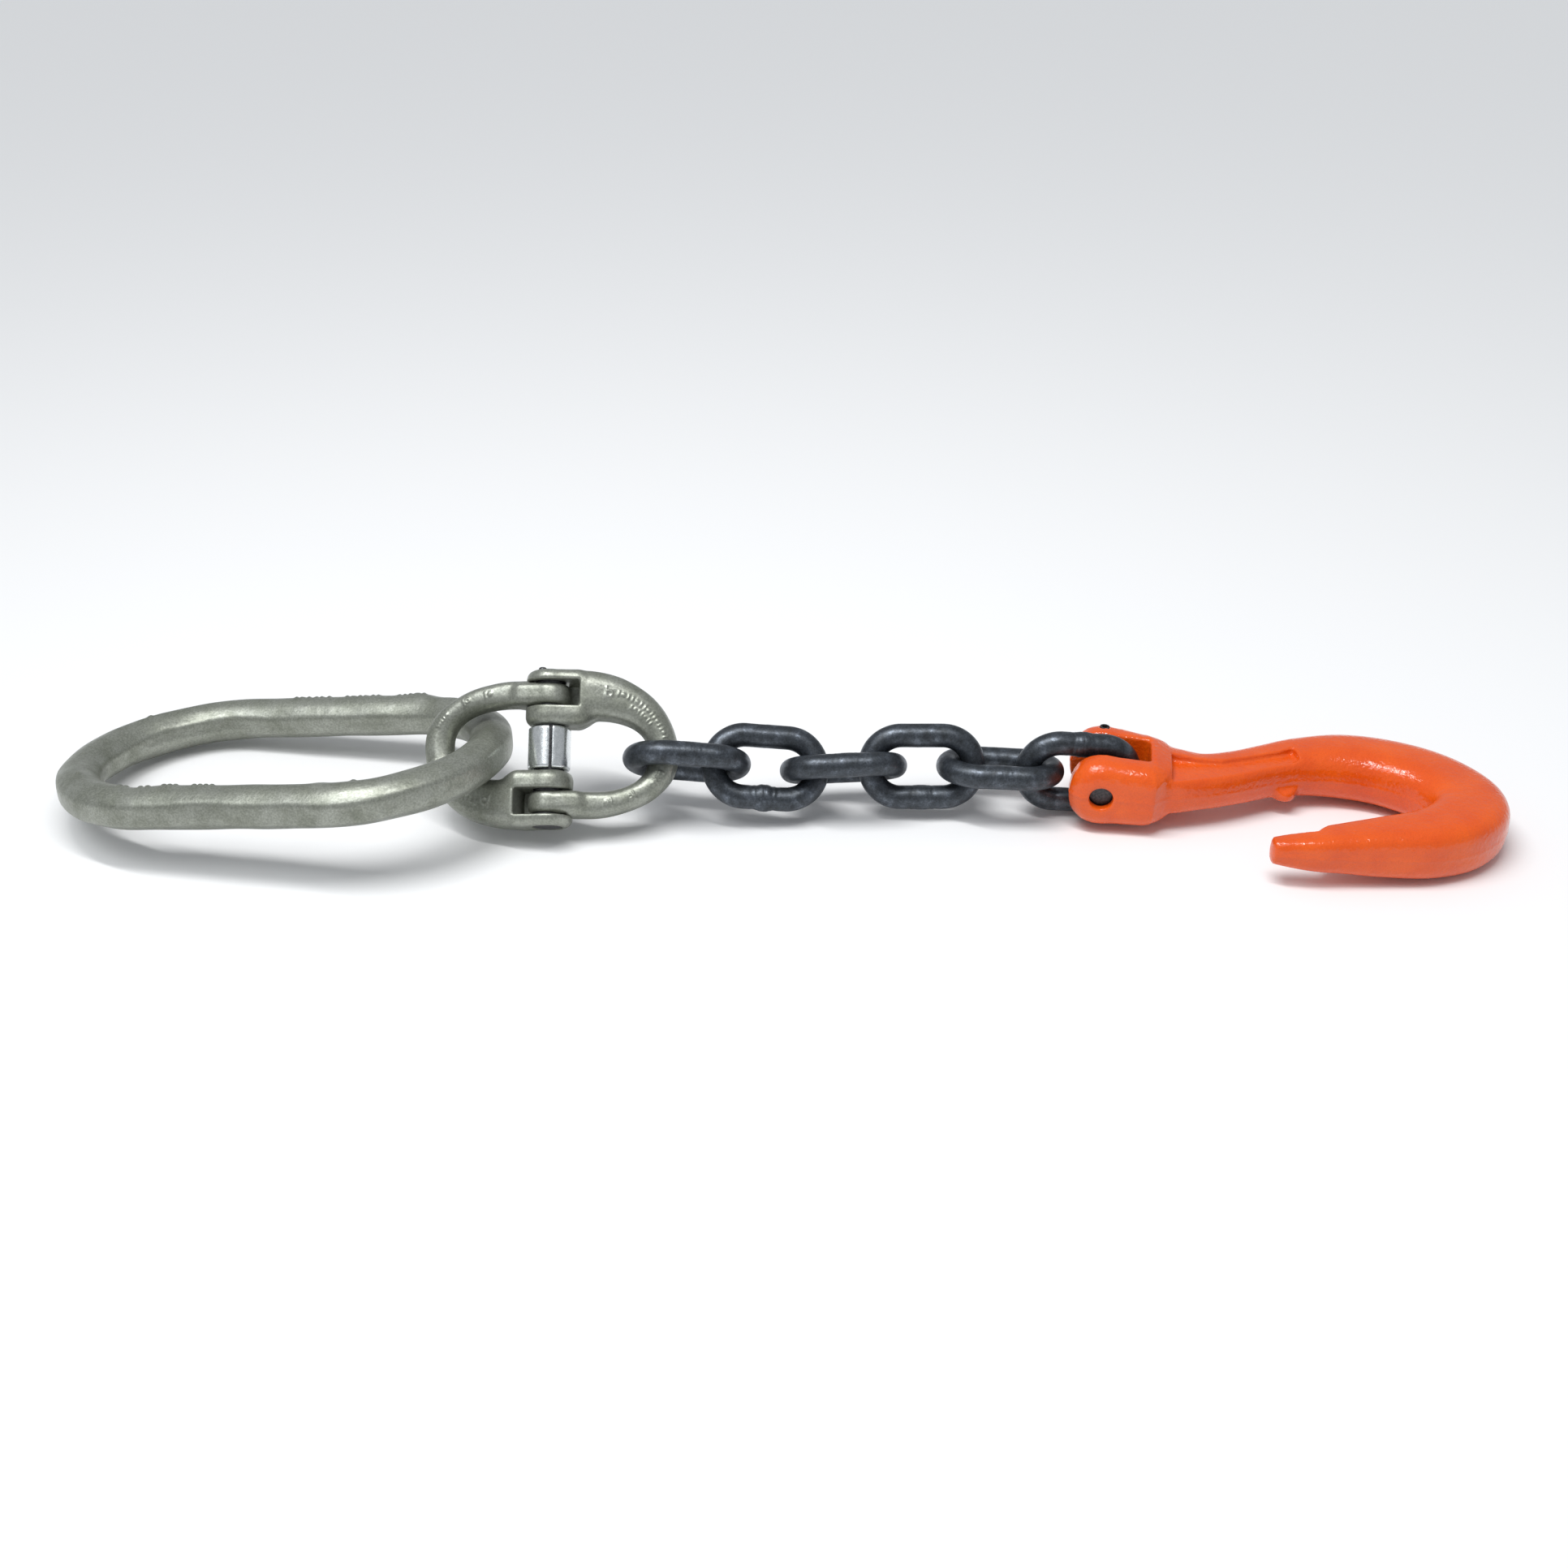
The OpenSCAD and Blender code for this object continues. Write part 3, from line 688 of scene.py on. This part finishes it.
def hook_line(steps):
    """Middle line of the shank, bowl and point, with half width, half thickness and squareness."""
    shank = ((0, 0, 34, EAR_R * 1.7, 3.5), (0.22, 1, 31, EAR_R * 1.45, 3.2), (0.46, 3, 25.5, SHANK_T, 3),
             (0.72, 8.5, 22.5, SHANK_T, 3))
    bowl = ((94, 16.5, 22.5, SHANK_T * 1.04, 3), (80, 23, 25.5, (SHANK_T + BOWL_T) / 2, 2.7),
            (64, 26.5, 29, BOWL_T * 0.98, 2.6), (46, 25, 31.5, BOWL_T, 2.6), (29, 17, 32.5, BOWL_T, 2.8),
            (18.5, 4.5, 32.5, BOWL_T, 3), (16.5, -9, 31.5, BOWL_T, 3.3), (23.5, -21.5, 29.5, BOWL_T, 3.4),
            (37, -31, 26, BOWL_T * 0.94, 3.4), (53, -36, 22, BOWL_T * 0.86, 3.4),
            (69, -40.5, 18, BOWL_T * 0.74, 3.2), (80, -43.7, 15.6, BOWL_T * 0.65, 3.2),
            (88, -45.6, 12.2, BOWL_T * 0.56, 3), (96, -47, 9, BOWL_T * 0.45, 2.6))
    rows = [(SHANK_FROM + a * (BOWL_FROM - SHANK_FROM), *rest) for a, *rest in shank]
    rows += [(HOOK_REACH - a, *rest) for a, *rest in bowl]
    line = smooth_line(rows, steps)
    line[:, 2:4] /= 2
    return line


def hook_mesh():
    step = 0.55
    axes = grid((-EAR_R, -64, -EAR_R - 1), (HOOK_REACH, 42, EAR_R + 1), step)
    x, y, z = axes
    blade = sweep_distance(axes, hook_line(900), 1.5)
    # Clevis: its outline from the side and from above, with rounded edges where they meet
    side = np.hypot(x, z) - EAR_R
    cheek = polygon_distance(x, z, [(0, -EAR_R * 0.98), (FORK_END - 8, -EAR_R * 0.93),
                                    (FORK_END + 2, -SHANK_T / 2 - 2), (FORK_END + 2, SHANK_T / 2 + 2),
                                    (FORK_END - 8, EAR_R * 0.93), (0, EAR_R * 0.98)])
    side = join_soft(side, cheek, 0.8)
    top = polygon_distance(x, y, [(-EAR_R - 1, 2.5 - FORK_HALF), (-EAR_R / 2, -FORK_HALF),
                                  (FORK_END - 4, -FORK_HALF), (FORK_END, 3.5 - FORK_HALF),
                                  (FORK_END + 2, -14), (FORK_END + 2, 15), (FORK_END - 2, FORK_HALF - 4),
                                  (EAR_R / 2, FORK_HALF), (-EAR_R / 2, FORK_HALF),
                                  (-EAR_R - 1, FORK_HALF - 2.5)])
    clevis = meet_soft(side, top, 9)
    body = join_soft(clevis, blade, 4)
    # Boss on the lower half of the neck's inside, where a latch would be pinned
    boss = meet_soft(np.hypot(x - BOWL_FROM - 7, y - 9.6) - 5, slab(z, -8.6, -3), 2)
    body = join_soft(body, boss, 3)
    body = body + HOOK_INSET + 0.12 * ripple(x, y, z, 15.0, 3.0)
    body = body - 0.22 * np.exp(-(z / 0.8) ** 2)
    # Recess in each face of the shank
    recess = [(0.17, -12.5), (0.41, -8), (0.67, -2), (0.93, 4.5), (1.14, 9.5), (1.21, 14), (1.18, 18.5),
              (1.1, 15.9), (0.83, 9.5), (0.58, 3.8), (0.36, 2.6), (0.17, 2.7)]
    outline = polygon_distance(x, y, [(SHANK_FROM + a * (BOWL_FROM - SHANK_FROM), b) for a, b in recess])
    pocket = meet_soft(outline - 1.2, SHANK_T / 2 - RECESS_DEPTH - np.abs(z), 1.6)
    body = meet_soft(body, -pocket, 0.8)
    # Slot between the ears, the bores and a small pit
    slot = meet_soft(np.abs(y) - EAR_GAP / 2, x - SLOT_ROOT, 3)
    body = meet_soft(body, -slot, 1.5)
    bore = np.minimum(PIN_R + BORE_ROOM - np.hypot(x, z), y + FORK_HALF - (PIN_SEAT - 0.2))
    body = np.maximum(body, bore)
    body = meet_soft(body, np.minimum(DRIFT_R - np.hypot(x, z), -y), 1.0)
    body = np.maximum(body, ROLL_R + BORE_ROOM - np.hypot(x, y - EAR_GAP / 2 - EAR_T / 2))
    pit = 1.7 - np.sqrt((x - 30.5) ** 2 + (y + 17) ** 2 + (z - 6) ** 2)
    body = meet_soft(body, pit, 0.5)
    # Notch that sets the point off from the bowl
    notch = [(77, -30), (76.5, -36.5), (80, -41.2), (88, -42.4), (104, -43.2), (104, -30)]
    cut = polygon_distance(x, y, [(HOOK_REACH - a, b) for a, b in notch])
    body = meet_soft(body, -cut, 1.2)
    return mesh_of_field(body, axes, step)


def hook_pin_mesh():
    step = 0.5
    low_y, high_y = PIN_SEAT - FORK_HALF, FORK_HALF - PIN_FAR_INSET
    axes = grid((-PIN_R, low_y, -PIN_R), (PIN_R, high_y, PIN_R), step)
    x, y, z = axes
    pin = meet_soft(np.hypot(x, z) - PIN_R, slab(y, low_y, high_y), 1.6)
    return mesh_of_field(pin, axes, step)


def make_hook():
    turn = turn_of(HOOK_LAY)
    low, high = own_corners("hook_load_pin", turn)
    shift = np.array([0, (PIN_SEAT - PIN_FAR_INSET) / 2, 0])
    place = turn @ ((low + high) / 2 - shift)
    add_piece("hook_skin", hook_mesh(), turn, place, "hook_body", "hook", ORANGE)
    add_piece("hook_pin_skin", hook_pin_mesh(), turn, place, "hook_load_pin", "hook", PIN_STEEL)


def finish_roll_pin():
    """The roll pin's CAD shape is right: it gets soft edges and the pins' steel."""
    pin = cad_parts["hook_roll_pin"]
    edges = pin.modifiers.new("soft_edges", "BEVEL")
    edges.width = 0.15 * MM
    edges.segments = 2
    for slot in pin.material_slots:
        slot.material = PIN_STEEL


make_links()
make_master()
make_coupling()
make_hook()
finish_roll_pin()


# ---- floor, light and camera ----

def make_floor():
    mesh = bpy.data.meshes.new("floor")
    half = FLOOR_HALF
    corners = [(-half, -half, 0), (half, -half, 0), (half, half, 0), (-half, half, 0)]
    mesh.from_pydata(corners, [], [(0, 1, 2, 3)])
    material, _, _, shader = start_material("floor")
    shader.inputs["Base Color"].default_value = (0.9, 0.9, 0.9, 1)
    shader.inputs["Roughness"].default_value = 0.9
    shader.inputs["Specular IOR Level"].default_value = 0.1
    mesh.materials.append(material)
    floor = bpy.data.objects.new("floor", mesh)
    bpy.context.scene.collection.objects.link(floor)


def add_area(name, place, aim, size, power, colour=(1, 1, 1)):
    light = bpy.data.lights.new(name, "AREA")
    light.shape = "RECTANGLE"
    light.size, light.size_y = size
    light.energy = power
    light.color = colour
    lamp = bpy.data.objects.new(name, light)
    lamp.location = place
    lamp.rotation_euler = (Vector(aim) - Vector(place)).to_track_quat("-Z", "Y").to_euler()
    bpy.context.scene.collection.objects.link(lamp)


def make_light():
    world = bpy.data.worlds.new("studio")
    world.use_nodes = True
    world.node_tree.nodes["Background"].inputs["Color"].default_value = (0.93, 0.96, 1, 1)
    world.node_tree.nodes["Background"].inputs["Strength"].default_value = SKY_STRENGTH
    bpy.context.scene.world = world
    bpy.context.scene.view_settings.view_transform = "Standard"
    add_area("key", (-0.1, -0.2, 0.95), (0, 0, 0), (0.8, 0.06), KEY_POWER)
    sun = bpy.data.lights.new("sun", "SUN")
    sun.energy = SUN_POWER
    sun.angle = radians(35)
    sun.color = (0.96, 0.98, 1)
    lamp = bpy.data.objects.new("sun", sun)
    lamp.rotation_euler = Vector((0.35, 0.3, -1)).to_track_quat("-Z", "Y").to_euler()
    bpy.context.scene.collection.objects.link(lamp)


def make_camera():
    aim = Vector((0.0044, 0.0017, 0.0112))
    distance = 0.807
    down = radians(30)
    data = bpy.data.cameras.new("camera")
    data.sensor_width = 36
    data.lens = 44.52
    data.clip_start = 0.05
    camera = bpy.data.objects.new("camera", data)
    camera.location = aim + distance * Vector((0, -cos(down), sin(down)))
    camera.rotation_euler = (pi / 2 - down, 0, 0)
    bpy.context.scene.collection.objects.link(camera)
    bpy.context.scene.camera = camera


make_floor()
make_light()
make_camera()
